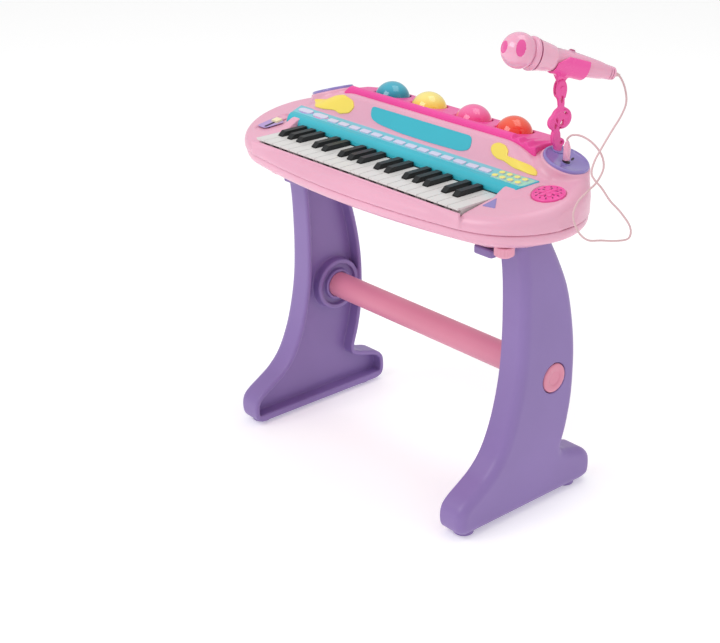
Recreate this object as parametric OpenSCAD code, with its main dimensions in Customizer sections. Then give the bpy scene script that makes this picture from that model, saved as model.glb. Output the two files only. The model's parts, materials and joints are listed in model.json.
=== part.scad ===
// Toy electronic keyboard on two legs, with drum pads and a microphone on a stem.
// Millimetres, +Z up, X along the keys from the lowest note, the player on the -Y side.
// Origin: the centre of the footprint on the floor.

/* [Console] */
// radius of the rounded ends of the console
end_r = 90.5; // [88:0.5:91]
// distance of the two end centres from the middle
end_x = 158.5; // [157:0.5:160]
// slope of the top face towards the player, degrees
top_tilt = 9.7; // [7:0.1:12]
// wall thickness of the plastic shells
wall = 3; // [2.4:0.1:3.6]

/* [Keys] */
// width taken by one white key
key_pitch = 15.5; // [14.5:0.1:15.6]
// gap at each side of a key
key_gap = 0.3; // [0.2:0.05:0.5]
// width of a black key
black_w = 8; // [7:0.1:8.4]
// height of the black keys above the white ones
black_h = 5.5; // [4:0.1:6]

/* [Drum pads] */
// radius of a dome
dome_r = 22; // [20:0.5:23]

/* [Stand] */
// thickness of a leg along X
leg_t = 36; // [30:1:38]
// radius of the crossbar
bar_r = 16.3; // [14:0.1:18]
// rim width around the recess of a leg
rim = 6; // [4:0.5:9]

/* [Microphone] */
// diameter of the microphone head
mic_head_d = 38; // [34:1:40]
// cord diameter
cord_d = 2.2; // [1.6:0.1:3]

/* [Hidden] */
$fn = 64;

pink = [0.93, 0.69, 0.80];
violet = [0.56, 0.47, 0.69];
magenta = [0.95, 0.36, 0.67];
teal = [0.27, 0.75, 0.81];

// ---------- outline of the console: two end arcs joined by a bowed front and rear ----------
mid_y = -8;       // end centres
front_y = 105.5;  // from there to the front of the middle
rear_y = 108;     // and to the rear
// radius of an arc that touches both end circles and reaches out to d on the centre line
function bow(d, r = end_r) = (end_x * end_x + d * d - r * r) / (2 * (d - r));
rf = bow(front_y);
rr = bow(rear_y);

// points of the outline moved outwards by o, anticlockwise from the left end of the front bow
fa = 90 - atan2(rf - front_y, end_x);
ra = 90 - atan2(rr - rear_y, end_x);
function arc(c, r, a0, a1, n) = [for (i = [0:n - 1]) let (a = a0 + (a1 - a0) * i / n) [c[0] + r * cos(a), c[1] + r * sin(a)]];
function outline(o) = [for (p = concat(
  arc([0, rf - front_y], rf + o, -90 - fa, -90 + fa, 10),
  arc([end_x, 0], end_r + o, -90 + fa, 90 - ra, 18),
  arc([0, rear_y - rr], rr + o, 90 - ra, 90 + ra, 10),
  arc([-end_x, 0], end_r + o, 90 + ra, 270 - fa, 18))) p + [0, mid_y]];

// solid through rings of the outline, from a profile of [offset, z] that rises
module turned(prof) {
  n = len(outline(0));
  m = len(prof);
  pts = [for (p = prof, q = outline(p[0])) [q[0], q[1], p[1]]];
  polyhedron(pts, concat([[for (k = [0:n - 1]) k]], [[for (k = [n - 1:-1:0]) (m - 1) * n + k]],
    [for (i = [0:m - 2], k = [0:n - 1]) [i * n + k, (i + 1) * n + k, (i + 1) * n + (k + 1) % n, i * n + (k + 1) % n]]));
}

// frame of the sloping top face: local z = 0 is the face
top_y = -4;
top_z = 394.6;
module on_top() { translate([0, top_y, top_z]) rotate([top_tilt, 0, 0]) children(); }
function top_at(y) = top_z + (y - top_y) * tan(top_tilt);

seam_z = 364;
base_z = 330;
key_z = 386;

// ---------- casings ----------
module shell_low() turned([[-52, base_z], [-36, 337.5], [-21, 344], [-9, 349.3], [-3.5, 352.3], [-2, 355.5], [-2, seam_z]]);
module cavity_low() turned([[-54, base_z + wall], [-38.5, 340.3], [-23.5, 346.8], [-12, 352], [-6.6, 354.6], [-5, 357.5], [-5, seam_z + 2]]);

// recess for the top of a leg, open below
module leg_pocket(s) {
  translate([s > 0 ? 167.6 : -167.6 - leg_t - 0.8, -36, 320]) cube([leg_t + 0.8, 68, 25]);
  translate([s > 0 ? 175.6 : -175.6 - leg_t, -57, 320]) cube([leg_t, 30, 17]);
}

knob = [190.5, -43.5];
module lower_casing() color(pink) difference() {
  union() {
    difference() { shell_low(); cavity_low(); }
    intersection() { shell_low(); union() {
    // boxes that take the legs
    for (s = [-1, 1]) {
      translate([s > 0 ? 164.6 : -207.4, -39, base_z + 1]) cube([42.8, 74, 17]);
      translate([s > 0 ? 172.6 : -212, -60, base_z + 1]) cube([39.4, 34, 9]);
    }
    // screw posts under the upper casing
    for (x = [-120, 0, 120], y = [-78, 70]) translate([x, y, base_z + 1]) cylinder(r = 4, h = 32.6);
    // bosses for the thumb screws
    for (s = [-1, 1]) translate([s * knob[0], knob[1], 336]) cylinder(r = 7, h = 14);
    // battery box walls
    translate([-57, 0, base_z + 2]) difference() { cube([114, 50, 26]); translate([2.5, 2.5, -1]) cube([109, 45, 24.5]); }
    } }
  }
  for (s = [-1, 1]) leg_pocket(s);
  for (s = [-1, 1]) translate([s * knob[0], knob[1], base_z]) cylinder(r = 2.6, h = 17);
  for (x = [-120, 0, 120], y = [-78, 70]) translate([x, y, base_z - 1]) { cylinder(r = 1.6, h = 40); cylinder(r = 3.2, h = 12); }
  // opening of the battery box
  translate([-54.5, 2.5, base_z - 1]) cube([109, 45, 10]);
}

module hump_body(o) {
  intersection() {
    translate([-200, 0, 0]) rotate([90, 0, 90]) linear_extrude(400) polygon([[-1 + o, 380], [-1 + o, 399.3 - o], [1.5 + o, 401.5 - o * 0.9], [15.5 + o * 0.8, 423 - o], [19, 424.6 - o * 1.1], [86 - o * 0.5, 414 - o * 1.1], [94 - o, 404 - o], [96 - o, 380]]);
    translate([0, 0, 370]) linear_extrude(70) polygon(outline(-5 - o));
    // sloping ends
    rotate([90, 0, 0]) translate([0, 0, -140]) linear_extrude(200) polygon([[-200 + o, 380], [-196 + o, 399.5 - o], [-150 + o * 0.5, 424 - o * 0.5], [150 - o * 0.5, 424 - o * 0.5], [196 - o, 399.5 - o], [200 - o, 380]]);
  }
}

// round plinths that carry the discs
disc_c = [193.5, 45.5, 415];
disc_r = 26.4;
module disc_frame(s) { translate([s * disc_c[0], disc_c[1], disc_c[2]]) rotate([-3, 0, 0]) rotate([0, s * 20, 0]) children(); }
module plinth(s, o) { disc_frame(s) translate([0, 0, -34 - o]) cylinder(r1 = 32 - o, r2 = disc_r + 1.8 - o, h = 32.4, $fn = 96); }

module shell_top() on_top() turned([[-5, -64], [-4, -50], [-2.5, -36], [-1.3, -28], [0, -20], [0, -14], [-1.2, -9], [-3.5, -4.6], [-7, -1.7], [-12, 0]]);
module cavity_top() on_top() turned([[-8, -66], [-7, -50], [-5.5, -36], [-4.3, -28], [-3, -20], [-3.1, -15], [-4.6, -10], [-7, -6.2], [-10, -4], [-14, -3]]);

module upper_casing() color(pink) difference() {
  union() {
    intersection() {
      difference() {
        union() { shell_top(); hump_body(0); for (s = [-1, 1]) plinth(s, 0); }
        cavity_top(); hump_body(wall); for (s = [-1, 1]) plinth(s, wall);
      }
      translate([-300, -200, seam_z + 0.1]) cube([600, 400, 100]);
    }
    // rim round the key bed
    difference() {
      translate([-174.6, -98.8, 371]) cube([349.2, 72, 10.4]);
      translate([-172, -95.8, 370]) cube([344, 82, 20]);
    }
    // posts that meet the ones below
    for (x = [-120, 120]) translate([x, 70, seam_z + 0.1]) cylinder(r = 4, h = 50);
  }
  // key bed
  translate([-172, -95.8, 360]) cube([344, 83.8, 60]);
  // seat of the control panel
  translate([0, 0, 380]) linear_extrude(60) polygon([[-196, -31.8], [187, -31.8], [196.6, 3.4], [-205.6, 3.4]]);
  // recess with the slot of the slider, on the left shoulder
  on_top() translate([0, 0, -1.6]) linear_extrude(10) polygon([[-212, -62], [-186, -62], [-183, -18], [-213, -14]]);
  on_top() translate([-203, -52, -8]) cube([4, 32, 20]);
  // seat of the speaker grille, on the right shoulder
  on_top() translate([217, -3.5, -1.4]) cylinder(r = 18.6, h = 10);
  on_top() for (a = [0:60:300]) translate([217 + 10 * cos(a), -3.5 + 10 * sin(a), -8]) cylinder(r = 2.5, h = 20);
  // drum rail openings
  for (x = [-101, -37, 37, 101]) translate([x, 58, 400]) cylinder(r = dome_r + 1, h = 40);
  for (s = [-1, 1]) disc_frame(s) translate([0, 0, -40]) cylinder(r = 5, h = 60);
  // foot of the stem and the socket of the plug
  translate([stem_p[0], stem_p[1], 396]) cylinder(r = 4.6, h = 50);
  translate([plug_p[0], plug_p[1], 396]) cylinder(r = 3, h = 50);
}

// ---------- control panel ----------
module control_panel() {
  color(teal) difference() {
    intersection() {
      translate([-210, 0, 0]) rotate([90, 0, 90]) linear_extrude(420) polygon([[-30.5, 387], [-20.5, 397.6], [2.6, 401.3], [2.6, 398.9], [-19.6, 395.2], [-28.6, 386]]);
      translate([0, 0, 380]) linear_extrude(60) polygon([[-195, -31], [186, -31], [195.6, 3], [-204.6, 3]]);
    }
    for (b = buttons) translate([b[0], b[1], 380]) linear_extrude(40) button_shape(b, 0.4);
  }
  // inlay on the front of the hump
  color(teal) music_inlay();
}

hump_a = atan2(21.5, 14);
module music_inlay() translate([0, 1.5, 401.5]) rotate([hump_a, 0, 0]) translate([-3, 0, 0.05]) linear_extrude(1) intersection() {
  translate([-88, 2]) square([176, 21.5]);
  translate([0, 303]) circle(r = 300, $fn = 360);
}

// [x, y, width, depth]: two large ones, a row of fourteen, and the chord cluster
buttons = concat(
  [[-182, -8, 24, 9], [-153, -9, 24, 9]],
  [for (i = [0:13]) [-127 + i * 19.6, -11, 15.5, 7.5]],
  [for (i = [0:3], j = [0:1]) [146.5 + i * 11.2 + j * 2, -15.5 + j * 9.5, 6.5, 5.5]]);
module button_shape(b, o) {
  r = b[2] > 20 ? b[3] / 2 : 1.6;
  translate([0, 0]) { square([b[2] - 2 * r + 0.01, b[3] + 2 * o], center = true); square([b[2] + 2 * o, b[3] - 2 * r + 0.01], center = true);
    for (i = [-1, 1], j = [-1, 1]) translate([i * (b[2] / 2 - r), j * (b[3] / 2 - r)]) circle(r = r + o, $fn = 24); }
}
panel_tilt = atan2(3.7, 23.1);
module control_buttons() color([0.81, 0.80, 0.91]) for (b = buttons)
  translate([b[0], b[1], 397.6 + (b[1] + 20.5) * tan(panel_tilt)]) rotate([panel_tilt, 0, 0]) translate([0, 0, -6]) linear_extrude(7.4) button_shape(b, 0);

module volume_slider() color([0.96, 0.90, 0.74]) on_top() {
  translate([-206.5, -40, -1.5]) cube([11, 9, 4.5]);
  translate([-202.6, -38, -7]) cube([3.2, 5, 6]);
}

module speaker_grille() color(magenta) on_top() difference() {
  union() { translate([217, -3.5, -1.3]) cylinder(r = 18.3, h = 3.3); }
  for (a = [0:60:300]) translate([217 + 10.5 * cos(a), -3.5 + 10.5 * sin(a), -3]) cylinder(r = 2.2, h = 10);
  translate([217, -3.5, 1]) difference() { cylinder(r = 16.4, h = 3); translate([0, 0, -1]) cylinder(r = 14.8, h = 5); }
}

// ---------- drum rail and pads ----------
pad_x = [-101, -37, 37, 101];
pad_y = 58;
pad_z = 416;
module drum_rail() color(magenta) difference() {
  union() {
    // front ridge
    intersection() {
      translate([-178, 0, 0]) rotate([90, 0, 90]) linear_extrude(356) polygon([[15, 424.6], [14, 426], [17, 430], [23, 431.4], [29, 429.8], [37, 425.2], [86, 419], [88, 416.5], [87.5, 412], [17.8, 422.9]]);
      // the ends run down and back
      rotate([90, 0, 0]) translate([0, 0, -140]) linear_extrude(200) polygon([[-150, 405], [-150, 424], [-143, 430], [-138, 445], [138, 445], [150, 430], [176, 421], [176, 405]]);
      linear_extrude(500) polygon([[-151, 28], [-140, 13], [130, 13], [177, 30], [177, 60], [140, 90], [-130, 90], [-151, 60]]);
    }
    for (x = pad_x) translate([x, pad_y, 415]) cylinder(r = dome_r + 4, h = 5);
  }
  for (s = [-1, 1]) translate([s * 193.5, 45.5, 400]) cylinder(r = 33, h = 60);
  for (x = pad_x) translate([x, pad_y, 400]) cylinder(r = dome_r + 0.6, h = 60);
  translate([0, 0, 0]) hump_body(0);
}
module pad(i) {
  translate([pad_x[i], pad_y, pad_z]) {
    difference() {
      intersection() { sphere(r = dome_r, $fn = 96); translate([-30, -30, 0]) cube([60, 60, 60]); }
      translate([0, 0, -0.1]) intersection() { sphere(r = dome_r - 2, $fn = 96); translate([-30, -30, 0]) cube([60, 60, 60]); }
    }
    translate([0, 0, -2]) difference() { cylinder(r = dome_r, h = 2); translate([0, 0, -1]) cylinder(r = dome_r - 2, h = 4); }
    // stem that presses the contact
    translate([0, 0, -14]) cylinder(r = 4, h = 35);
  }
}
module drum_pad_blue() color([0.12, 0.58, 0.68]) pad(0);
module drum_pad_yellow() color([0.98, 0.89, 0.44]) pad(1);
module drum_pad_pink() color([0.96, 0.36, 0.60]) pad(2);
module drum_pad_red() color([0.93, 0.21, 0.14]) pad(3);

// ---------- end discs ----------
module end_discs() color([0.49, 0.44, 0.72]) for (s = [-1, 1]) difference() {
  disc_frame(s) union() {
    translate([0, 0, -1.5]) cylinder(r = disc_r, h = 2.5, $fn = 96);
    cylinder(r = disc_r - 1.6, h = 1.8, $fn = 96);
  }
  // socket of the plug, and the seat of the stem on the right
  if (s > 0) { translate([195.9, 53.2, 418]) rotate([0, 0, 25]) cube([3, 9, 8], center = true); translate([plug_p[0], plug_p[1], 400]) cylinder(r = 3, h = 40); translate([stem_p[0], stem_p[1], 400]) cylinder(r = 6.5, h = 40); }
}

// ---------- keys ----------
bed_x = -11 * key_pitch;
hinge = [0, 10, 378];
key_front = -95;
key_back = -31.5;
cap_front = -69.5;
function bx(b, o) = bed_x + b * key_pitch + o;
module barrel(x0, x1) { translate([x0, hinge[1], hinge[2]]) rotate([0, 90, 0]) cylinder(r = 3.4, h = x1 - x0, $fn = 48); }
module barrel_bore(x0, x1) { translate([x0 - 1, hinge[1], hinge[2]]) rotate([0, 90, 0]) cylinder(r = 1.55, h = x1 - x0 + 2, $fn = 48); }
module white_key(i, lo, ro) {
  x0 = bed_x + i * key_pitch + key_gap;
  x1 = bed_x + (i + 1) * key_pitch - key_gap;
  n0 = lo == undef ? x0 : bx(i, lo) + black_w / 2 + 0.6;
  n1 = ro == undef ? x1 : bx(i + 1, ro) - black_w / 2 - 0.6;
  s0 = max(n0, x0); s1 = min(n1, x1);
  color([0.91, 0.91, 0.90]) difference() {
    union() {
      // playing surface
      translate([x0, key_front, key_z - 2.4]) cube([x1 - x0, cap_front - 1 - key_front, 2.4]);
      translate([s0, cap_front - 2, key_z - 2.4]) cube([s1 - s0, key_back - cap_front + 2, 2.4]);
      // ribs and tail
      translate([s0 + 0.8, -90, key_z - 9]) cube([s1 - s0 - 1.6, 21.5, 7]);
      translate([s0 + 0.8, -69, key_z - 9]) cube([s1 - s0 - 1.6, 77, 6.9]);
      barrel(s0 + 0.8, s1 - 0.8);
    }
    barrel_bore(s0, s1);
  }
}
module black_key(b, o) {
  x = bx(b, o);
  color([0.16, 0.17, 0.18]) difference() {
    union() {
      // cap with a sloping front
      translate([x - black_w / 2, 0, 0]) rotate([90, 0, 90]) linear_extrude(black_w)
        polygon([[cap_front, key_z - 2.2], [cap_front, key_z + 1.2], [cap_front + 5.5, key_z + black_h], [key_back, key_z + black_h], [key_back, key_z - 2.2]]);
      translate([x - black_w / 2 + 1.2, cap_front + 1, key_z - 9]) cube([black_w - 2.4, 8 - cap_front, 6.9]);
      barrel(x - black_w / 2 + 1.2, x + black_w / 2 - 1.2);
    }
    barrel_bore(x - 5, x + 5);
  }
}

// bed that carries the hinge rod, the rubber contacts and the circuit board
module key_frame() {
  color([0.75, 0.75, 0.78]) {
    difference() {
      union() {
        translate([-182, -80, 368.4]) cube([364, 99, 2]);
        for (s = [-1, 1]) translate([s > 0 ? 172.6 : -176.6, 3, 370]) cube([4, 14, 12]);
      }
      translate([-200, hinge[1], hinge[2]]) rotate([0, 90, 0]) cylinder(r = 1.5, h = 400, $fn = 48);
    }
  }
  // hinge rod
  color([0.7, 0.7, 0.7]) translate([-178, hinge[1], hinge[2]]) rotate([0, 90, 0]) cylinder(r = 1.5, h = 356, $fn = 48);
  // circuit board below the bed
  color([0.1, 0.45, 0.25]) translate([-150, -60, 366.6]) cube([300, 60, 1.6]);
}

module battery_door() color(pink) {
  translate([-54, 3, base_z]) cube([108, 44, 2.6]);
  for (i = [0:3]) translate([-20, 8 + i * 4, base_z - 0.8]) cube([40, 1.6, 1.2]);
}

// ---------- stand ----------
front_edge = [[-33, 344], [-27, 322], [-22, 290], [-19.6, 250], [-19, 215], [-20.5, 180], [-26, 145], [-35, 112], [-48, 84], [-64, 66], [-82, 54], [-97, 45], [-106, 37], [-109.5, 27], [-109, 15], [-105.5, 8], [-99, 4]];
rear_edge = [[99, 4], [108, 7], [112, 14], [112.5, 25], [110, 36], [100, 45], [84, 50], [68, 55], [59, 63], [66.5, 92], [72, 125], [73, 160], [71, 195], [64.5, 233], [54, 270], [37, 305], [14, 344]];
// smooth curve through hand-chosen points
function spline(p, m) = [for (i = [0:len(p) - 2], t = [0:m - 1]) let (u = t / m, a = p[max(i - 1, 0)], b = p[i], c = p[i + 1], d = p[min(i + 2, len(p) - 1)])
  0.5 * (2 * b + (c - a) * u + (2 * a - 5 * b + 4 * c - d) * u * u + (3 * b - a - 3 * c + d) * u * u * u)];
leg_curve = concat(spline(front_edge, 3), [[-99, 4]], [for (p = spline(rear_edge, 3)) p], [[14, 344]]);
// the same outline moved inwards along its normals
function inset(c, r) = let (n = len(c)) [for (i = [0:n - 1]) let (a = c[(i + n - 1) % n], b = c[(i + 1) % n], t = (b - a) / max(norm(b - a), 0.001)) c[i] + r * [-t[1], t[0]]];
module leg_plate(c, x0, x1) { translate([x0, 0, 0]) rotate([90, 0, 90]) linear_extrude(x1 - x0) polygon(c); }
in_x = 168;
bar_y = 34.5;
bar_z = 161;
module leg() {
  difference() {
    union() {
      difference() {
        leg_plate(leg_curve, in_x, in_x + leg_t);
        intersection() {
          leg_plate(inset(leg_curve, rim), in_x - 1, in_x + 16);
          translate([0, -100, 14]) cube([400, 205, 300]);
        }
      }
      // ring round the crossbar
      translate([in_x + 3, bar_y, bar_z]) rotate([0, 90, 0]) cylinder(r = 34, h = 14);
      // bracket under the console
      translate([150, -50, 320]) cube([28, 44, 9.6]);
      // tab for the thumb screw
      translate([176, -56, 333.6]) cube([28, 27, 3]);
      // feet
      for (y = [-87.5, 83.5]) translate([in_x + leg_t / 2, y, 0]) cylinder(r = 12, h = 5);
    }
    translate([in_x - 1, bar_y, bar_z]) rotate([0, 90, 0]) cylinder(r = bar_r + 0.1, h = leg_t + 2);
    translate([in_x + leg_t - 4, bar_y, bar_z]) rotate([0, 90, 0]) cylinder(r = 18.6, h = 6);
    translate([in_x + 1, bar_y, bar_z]) rotate([0, 90, 0]) difference() { cylinder(r = 28, h = 8); translate([0, 0, -1]) cylinder(r = bar_r + 4, h = 12); }
    translate([knob[0], knob[1], 330]) cylinder(r = 2.8, h = 10);
  }
}
module right_leg() color(violet) leg();
module left_leg() color(violet) mirror([1, 0, 0]) leg();
module crossbar() color([0.85, 0.50, 0.61]) {
  translate([-199, bar_y, bar_z]) rotate([0, 90, 0]) cylinder(r = bar_r, h = 398);
  for (s = [-1, 1]) translate([s > 0 ? 200.4 : -204.6, bar_y, bar_z]) rotate([0, 90, 0]) cylinder(r = 17.6, h = 4.2);
}
module leg_knobs() color([0.93, 0.66, 0.75]) for (s = [-1, 1]) translate([s * knob[0], knob[1], 0]) {
  translate([0, 0, 322.6]) cylinder(r = 11.5, h = 10.8, $fn = 12);
  translate([0, 0, 321]) cylinder(r = 9.5, h = 1.7);
  translate([0, 0, 333]) cylinder(r = 2.4, h = 13);
}

// ---------- microphone, stem and cord ----------
stem_p = [177.2, 48.7];
plug_p = [198.1, 40.1];
stem_top = 503;
mic_d = [-0.3265, -0.8986, 0.2932];
mic_c = [177.2, 48.7, 519.5];
// frame along the microphone: local +Z points to the head
mic_az = atan2(mic_d[1], mic_d[0]);
mic_el = asin(mic_d[2]);
module mic_frame() { translate(mic_c) rotate([0, 0, mic_az]) rotate([0, 90 - mic_el, 0]) children(); }
// frame facing along the stem's flat side
module stem_frame() { translate([stem_p[0], stem_p[1], 0]) rotate([0, 0, 70]) children(); }
module ringplate(x, z, r, t = 5.5) { translate([x, t / 2, z]) rotate([90, 0, 0]) cylinder(r = r, h = t); }
module mic_stem() color(magenta) difference() {
  union() {
    translate([stem_p[0], stem_p[1], 412]) cylinder(r = 4, h = 14);
    stem_frame() {
      translate([-4.5, -2.8, 422]) cube([9, 5.6, 24]);
      ringplate(5, 432, 6.2);
      ringplate(-1.5, 438, 8);
      ringplate(-4, 453, 11.5);
      ringplate(4.5, 457, 13.5);
      translate([-3, -2.8, 466]) cube([6.5, 5.6, 14]);
      ringplate(0.5, 484, 8.5);
      ringplate(0, 491, 7);
    }
  }
  stem_frame() {
    translate([-4.5, 6, 450]) rotate([90, 0, 0]) cylinder(r = 2.2, h = 12);
    translate([4, 6, 453]) rotate([90, 0, 0]) cylinder(r = 2, h = 12);
    translate([0, 6, 491]) rotate([90, 0, 0]) cylinder(r = 1.55, h = 12);
    translate([-1, -4, 477]) cube([2, 8, 8]);
  }
}
module mic_clip() color(magenta) {
  difference() {
    union() {
      mic_frame() translate([0, 0, -14]) cylinder(r = 15.5, h = 28);
      // fork over the top of the stem
      stem_frame() for (s = [-1, 1]) translate([-5, s > 0 ? 3.1 : -5.9, 486]) cube([10, 2.8, 24]);
    }
    mic_frame() translate([0, 0, -20]) cylinder(r = 12.7, h = 40);
    // open jaw at the top
    mic_frame() translate([-40, -9, -20]) cube([36, 18, 40]);
  }
  stem_frame() translate([0, 3.6, 491]) rotate([90, 0, 0]) cylinder(r = 1.5, h = 7.2, $fn = 48);
}
module microphone() mic_frame() color([0.89, 0.64, 0.74]) {
  rotate_extrude($fn = 96) polygon(concat([[0, -67.6], [6.4, -67.6], [7.2, -66.4], [7.6, -56], [8.8, -50], [12.2, -14.5], [12.6, -14], [12.6, 14.5], [14.4, 24], [17.2, 38], [17.6, 39.5]],
    [for (a = [-40:8:88]) [18.4 * cos(a), 54.6 + 18.4 * sin(a)]], [[0, 73]]));
}
module mic_plug() color([0.93, 0.72, 0.78]) translate([plug_p[0], plug_p[1], 0]) difference() {
  union() { translate([0, 0, 417.4]) cylinder(r = 3.9, h = 16.6); translate([0, 0, 433]) cylinder(r = 2.9, h = 4.4); translate([0, 0, 406]) cylinder(r = 2.2, h = 13); }
}

// route of the cord from the tail of the microphone to the plug
tail = mic_c - 67.75 * mic_d;
route = [tail, tail - 5 * mic_d, [204, 117, 493], [208, 119, 483], [214, 115, 470], [220, 100, 459], [227, 78, 449], [235, 54, 438], [243, 33, 429],
  [250, 20, 420], [255, 20, 413], [259, 27, 404], [263, 38, 388], [267, 52, 373], [270, 66, 354], [269, 66, 341], [268, 45, 343], [267, 22, 349], [264, 4, 353],
  [261, -9, 365], [258, -15, 383], [255, -5, 395], [253, 12, 402], [249, 31, 407], [243, 48, 417], [236, 52, 429], [226, 49, 440], [214, 45, 446], [204, 41, 446], [198.1, 40.1, 441], [198.1, 40.1, 437.5]];
cord_pts = spline(route, 2);
function cross_n(a, b) = let (c = cross(a, b)) c / max(norm(c), 1e-6);
module mic_cord() {
  p = concat(cord_pts, [route[len(route) - 1]]);
  n = len(p);
  t = [for (i = [0:n - 1]) let (d = p[min(i + 1, n - 1)] - p[max(i - 1, 0)]) d / norm(d)];
  ref = [0.83, 0.21, 0.52];
  ring = [for (i = [0:n - 1]) let (u = cross_n(t[i], ref), v = cross(t[i], u)) [for (k = [0:7]) p[i] + cord_d / 2 * (cos(k * 45) * u + sin(k * 45) * v)]];
  pts = [for (r = ring, q = r) q];
  faces = concat([[for (k = [0:7]) k]], [[for (k = [7:-1:0]) (n - 1) * 8 + k]],
    [for (i = [0:n - 2], k = [0:7]) [i * 8 + k, (i + 1) * 8 + k, (i + 1) * 8 + (k + 1) % 8]],
    [for (i = [0:n - 2], k = [0:7]) [i * 8 + k, (i + 1) * 8 + (k + 1) % 8, i * 8 + (k + 1) % 8]]);
  color([0.86, 0.72, 0.72]) polyhedron(pts, faces);
}

// the twenty-two white keys, from the lowest F, each with the offsets of the black keys at its sides
module white_key_01() { white_key(0, undef, -1.2); }
module white_key_02() { white_key(1, -1.2, 0.0); }
module white_key_03() { white_key(2, 0.0, 1.2); }
module white_key_04() { white_key(3, 1.2, undef); }
module white_key_05() { white_key(4, undef, -1.0); }
module white_key_06() { white_key(5, -1.0, 1.0); }
module white_key_07() { white_key(6, 1.0, undef); }
module white_key_08() { white_key(7, undef, -1.2); }
module white_key_09() { white_key(8, -1.2, 0.0); }
module white_key_10() { white_key(9, 0.0, 1.2); }
module white_key_11() { white_key(10, 1.2, undef); }
module white_key_12() { white_key(11, undef, -1.0); }
module white_key_13() { white_key(12, -1.0, 1.0); }
module white_key_14() { white_key(13, 1.0, undef); }
module white_key_15() { white_key(14, undef, -1.2); }
module white_key_16() { white_key(15, -1.2, 0.0); }
module white_key_17() { white_key(16, 0.0, 1.2); }
module white_key_18() { white_key(17, 1.2, undef); }
module white_key_19() { white_key(18, undef, -1.0); }
module white_key_20() { white_key(19, -1.0, 1.0); }
module white_key_21() { white_key(20, 1.0, undef); }
module white_key_22() { white_key(21, undef, undef); }

// the fifteen black keys: the gap they stand over and their offset from it
module black_key_01() { black_key(1, -1.2); }
module black_key_02() { black_key(2, 0.0); }
module black_key_03() { black_key(3, 1.2); }
module black_key_04() { black_key(5, -1.0); }
module black_key_05() { black_key(6, 1.0); }
module black_key_06() { black_key(8, -1.2); }
module black_key_07() { black_key(9, 0.0); }
module black_key_08() { black_key(10, 1.2); }
module black_key_09() { black_key(12, -1.0); }
module black_key_10() { black_key(13, 1.0); }
module black_key_11() { black_key(15, -1.2); }
module black_key_12() { black_key(16, 0.0); }
module black_key_13() { black_key(17, 1.2); }
module black_key_14() { black_key(19, -1.0); }
module black_key_15() { black_key(20, 1.0); }

lower_casing();
upper_casing();
control_panel();
drum_rail();
key_frame();
speaker_grille();
battery_door();
drum_pad_blue();
drum_pad_yellow();
drum_pad_pink();
drum_pad_red();
control_buttons();
volume_slider();
end_discs();
left_leg();
right_leg();
crossbar();
leg_knobs();
mic_stem();
mic_clip();
microphone();
mic_plug();
mic_cord();
white_key_01();
white_key_02();
white_key_03();
white_key_04();
white_key_05();
white_key_06();
white_key_07();
white_key_08();
white_key_09();
white_key_10();
white_key_11();
white_key_12();
white_key_13();
white_key_14();
white_key_15();
white_key_16();
white_key_17();
white_key_18();
white_key_19();
white_key_20();
white_key_21();
white_key_22();
black_key_01();
black_key_02();
black_key_03();
black_key_04();
black_key_05();
black_key_06();
black_key_07();
black_key_08();
black_key_09();
black_key_10();
black_key_11();
black_key_12();
black_key_13();
black_key_14();
black_key_15();
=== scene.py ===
import bpy, bmesh, math, json
import numpy as np
from mathutils import Vector, Matrix, noise


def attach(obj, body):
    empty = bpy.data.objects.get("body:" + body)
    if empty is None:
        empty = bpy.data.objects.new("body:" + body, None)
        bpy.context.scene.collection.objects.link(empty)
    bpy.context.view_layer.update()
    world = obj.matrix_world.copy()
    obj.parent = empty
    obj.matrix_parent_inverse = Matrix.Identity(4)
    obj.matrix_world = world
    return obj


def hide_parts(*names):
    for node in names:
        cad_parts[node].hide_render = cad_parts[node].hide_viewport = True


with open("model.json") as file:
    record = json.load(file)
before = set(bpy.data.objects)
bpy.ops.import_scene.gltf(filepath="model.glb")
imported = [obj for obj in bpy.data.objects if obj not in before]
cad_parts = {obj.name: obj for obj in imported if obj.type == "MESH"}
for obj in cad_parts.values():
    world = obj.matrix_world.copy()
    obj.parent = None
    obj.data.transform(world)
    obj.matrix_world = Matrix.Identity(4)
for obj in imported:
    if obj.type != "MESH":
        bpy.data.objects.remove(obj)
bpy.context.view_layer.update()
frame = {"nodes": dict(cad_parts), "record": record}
NODES = frame["nodes"]
MM = 0.001
scene = bpy.context.scene

# ---------------------------------------------------------------- camera
az, el = math.radians(48.54), math.radians(23.82)
back = Vector((math.sin(az) * math.cos(el), -math.cos(az) * math.cos(el), math.sin(el)))
cam_data = bpy.data.cameras.new("camera")
cam = bpy.data.objects.new("camera", cam_data)
scene.collection.objects.link(cam)
cam.location = (1.191, -1.1325, 0.899)
cam.rotation_euler = (-back).to_track_quat('-Z', 'Y').to_euler()
cam_data.lens = 73.9
cam_data.sensor_width = 36
cam_data.clip_start = 0.05
cam_data.clip_end = 50
scene.camera = cam


# ---------------------------------------------------------------- helpers
def lin(hexa):
    v = [int(hexa[i:i + 2], 16) / 255 for i in (0, 2, 4)]
    return tuple([x / 12.92 if x <= 0.04045 else ((x + 0.055) / 1.055) ** 2.4 for x in v] + [1.0])


def spline(p, m):
    p = [np.array(q, float) for q in p]
    out = []
    for i in range(len(p) - 1):
        a, b, c, d = p[max(i - 1, 0)], p[i], p[i + 1], p[min(i + 2, len(p) - 1)]
        for t in range(m):
            u = t / m
            out.append(0.5 * (2 * b + (c - a) * u + (2 * a - 5 * b + 4 * c - d) * u * u + (3 * b - a - 3 * c + d) * u ** 3))
    out.append(p[-1])
    return out


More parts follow.
